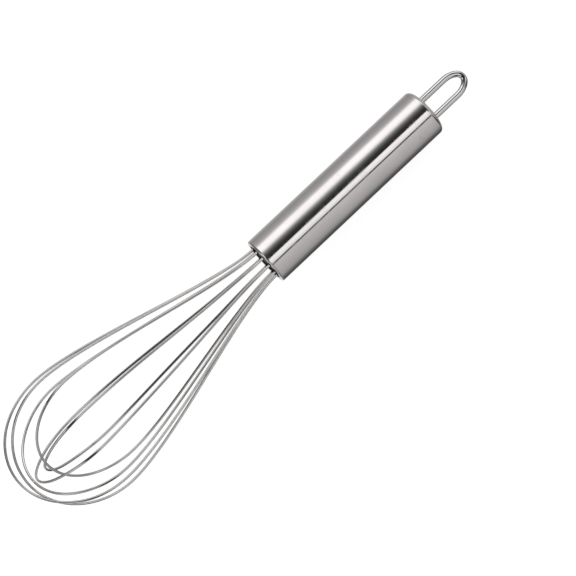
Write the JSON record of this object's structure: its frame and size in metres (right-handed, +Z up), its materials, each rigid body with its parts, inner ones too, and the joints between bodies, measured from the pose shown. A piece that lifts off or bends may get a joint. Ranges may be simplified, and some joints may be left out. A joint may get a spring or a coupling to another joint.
{
  "type": "balloon whisk",
  "caption": "Stainless steel balloon whisk with a closed tube handle, a wire hanging loop and nested wire loops that spread into a round belly.",
  "frame": {"origin": "under the middle of the whisk's box, on the surface that it lies on", "axes": "+X from the hanging loop to the balloon's tip, level, with the whisk's own axis rising 5.16 degrees towards the tip; +Z up; the hanging loop lies flat across Y"},
  "size_m": [0.2552, 0.06, 0.0564],
  "materials": {
    "satin_steel": "satin polished stainless steel",
    "polished_wire": "bright drawn stainless steel wire",
    "plain_steel": "unpolished stamped steel",
    "dark_plug": "moulded, matte",
    "amber_resin": "cast epoxy"
  },
  "bodies": {
    "root": {"handle_tube": "satin_steel", "end_cap": "satin_steel", "loop_anchor_plate": "plain_steel", "hanging_loop": "polished_wire", "mouth_plug": "dark_plug", "potting_resin": "amber_resin", "wire_loop_1": "polished_wire", "wire_loop_2": "polished_wire", "wire_loop_3": "polished_wire", "wire_loop_4": "polished_wire", "wire_loop_5": "polished_wire", "wire_loop_6": "polished_wire"}
  },
  "joints": []
}
